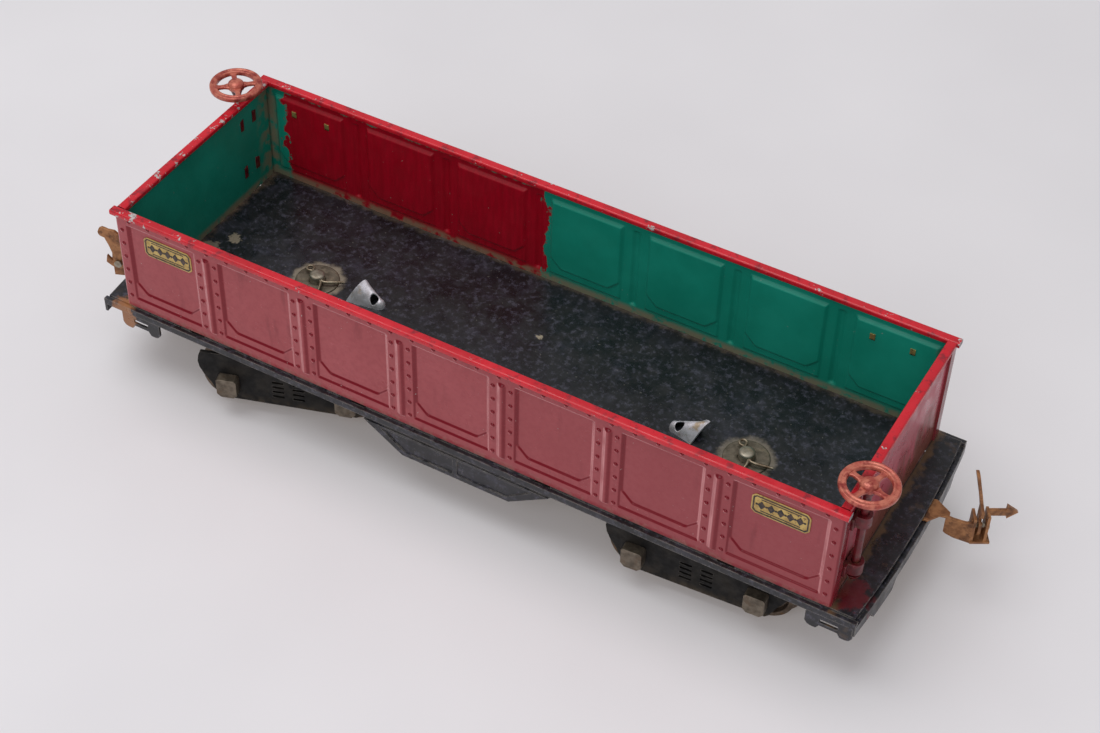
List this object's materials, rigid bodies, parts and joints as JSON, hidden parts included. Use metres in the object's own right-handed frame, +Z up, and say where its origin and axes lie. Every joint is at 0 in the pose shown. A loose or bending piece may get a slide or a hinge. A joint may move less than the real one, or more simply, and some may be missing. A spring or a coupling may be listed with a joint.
{
  "type": "toy gondola wagon",
  "caption": "Open-top tinplate toy gondola wagon on swivelling trucks, with latch couplers, hand-brake wheels and pressed panelled sides.",
  "frame": {"origin": "on the plane the wheel flanges stand on, under the middle of the body", "axes": "+X along the wagon to its right-hand end, where the coupler has a box and barbed tongue; +Z up; the near side faces -Y"},
  "size_m": [0.2789, 0.0826, 0.0677],
  "materials": {
    "body_red": "gloss enamel, crimson outside and green inside, chipped and dusty",
    "frame_black": "gloss black enamel, worn and dusty",
    "truck_black": "black enamel, worn",
    "brass": "polished with dark edges",
    "fittings": "dull nickel plate",
    "brake_copper": "copper with worn red enamel",
    "journal_nickel": "aged nickel plate",
    "wheel_metal": "aged die-cast metal with worn treads",
    "coupler_copper": "oxidised copper-brown plating"
  },
  "bodies": {
    "wagon": {"floor_frame": "frame_black", "side_near": "body_red", "side_far": "body_red", "end_left": "body_red", "end_right": "body_red", "girder_near": "frame_black", "girder_far": "frame_black", "corner_steps": "frame_black", "plate_near_left": "brass", "plate_near_right": "brass", "plate_far_left": "brass", "plate_far_right": "brass", "lug_left": "fittings", "lug_right": "fittings", "washer_left": "fittings", "washer_right": "fittings", "upper_bracket_left": "brake_copper", "upper_bracket_right": "brake_copper", "lower_bracket_left": "brake_copper", "lower_bracket_right": "brake_copper"},
    "truck_left": {"bolster_left": "truck_black", "side_frame_near_left": "truck_black", "side_frame_far_left": "truck_black", "journal_boxes_left": "journal_nickel", "pivot_stud_left": "fittings", "cotter_pin_left": "fittings", "coupler_rivet_left": "fittings"},
    "truck_right": {"bolster_right": "truck_black", "side_frame_near_right": "truck_black", "side_frame_far_right": "truck_black", "journal_boxes_right": "journal_nickel", "pivot_stud_right": "fittings", "cotter_pin_right": "fittings", "coupler_rivet_right": "fittings"},
    "wheelset_outer_left": {"axle_outer_left": "fittings", "wheels_outer_left": "wheel_metal"},
    "wheelset_inner_left": {"axle_inner_left": "fittings", "wheels_inner_left": "wheel_metal"},
    "wheelset_outer_right": {"axle_outer_right": "fittings", "wheels_outer_right": "wheel_metal"},
    "wheelset_inner_right": {"axle_inner_right": "fittings", "wheels_inner_right": "wheel_metal"},
    "coupler_left": {"coupler_arm_left": "coupler_copper", "hook_pin_left": "coupler_copper"},
    "coupler_right": {"coupler_arm_right": "coupler_copper", "coupler_head_right": "coupler_copper", "latch_pin_right": "coupler_copper"},
    "hook": {"hook_left": "coupler_copper"},
    "latch": {"latch_right": "coupler_copper"},
    "brake_left": {"brake_shaft_left": "brake_copper", "brake_wheel_left": "brake_copper"},
    "brake_right": {"brake_shaft_right": "brake_copper", "brake_wheel_right": "brake_copper"}
  },
  "joints": [
    {"name": "truck_left_swivel", "type": "hinge", "parent": "wagon", "child": "truck_left", "pos_m": [-0.0715, 0, 0.02], "axis": [0, 0, 1], "range_deg": [-30, 0]},
    {"name": "truck_right_swivel", "type": "hinge", "parent": "wagon", "child": "truck_right", "pos_m": [0.0715, 0, 0.02], "axis": [0, 0, 1], "range_deg": [-16, 8]},
    {"name": "wheelset_outer_left_spin", "type": "hinge", "parent": "truck_left", "child": "wheelset_outer_left", "pos_m": [-0.08862, -0.00556, 0.011], "axis": [0.309, -0.9511, 0], "continuous": true},
    {"name": "wheelset_inner_left_spin", "type": "hinge", "parent": "truck_left", "child": "wheelset_inner_left", "pos_m": [-0.05438, 0.00556, 0.011], "axis": [0.309, -0.9511, 0], "continuous": true},
    {"name": "wheelset_outer_right_spin", "type": "hinge", "parent": "truck_right", "child": "wheelset_outer_right", "pos_m": [0.08946, 0.00126, 0.011], "axis": [-0.0698, 0.9976, 0], "continuous": true},
    {"name": "wheelset_inner_right_spin", "type": "hinge", "parent": "truck_right", "child": "wheelset_inner_right", "pos_m": [0.05354, -0.00126, 0.011], "axis": [-0.0698, 0.9976, 0], "continuous": true},
    {"name": "coupler_left_swing", "type": "hinge", "parent": "truck_left", "child": "coupler_left", "pos_m": [-0.09052, -0.00618, 0.0251], "axis": [0, 0, 1], "range_deg": [-16, 4]},
    {"name": "coupler_right_swing", "type": "hinge", "parent": "truck_right", "child": "coupler_right", "pos_m": [0.09145, 0.00139, 0.0251], "axis": [0, 0, 1], "range_deg": [-22, 1.5]},
    {"name": "hook_lift", "type": "hinge", "parent": "coupler_left", "child": "hook", "pos_m": [-0.12976, -0.02147, 0.0235], "axis": [-0.2924, 0.9563, 0], "range_deg": [0, 30]},
    {"name": "latch_lift", "type": "hinge", "parent": "coupler_right", "child": "latch", "pos_m": [0.13354, 0.01243, 0.0225], "axis": [0.8616, 0.5075, 0], "range_deg": [-25, 0]},
    {"name": "brake_left_turn", "type": "hinge", "parent": "wagon", "child": "brake_left", "pos_m": [-0.1155, 0.025, 0.06], "axis": [0, 0, 1], "continuous": true},
    {"name": "brake_right_turn", "type": "hinge", "parent": "wagon", "child": "brake_right", "pos_m": [0.1155, -0.0283, 0.06], "axis": [0, 0, 1], "continuous": true}
  ]
}
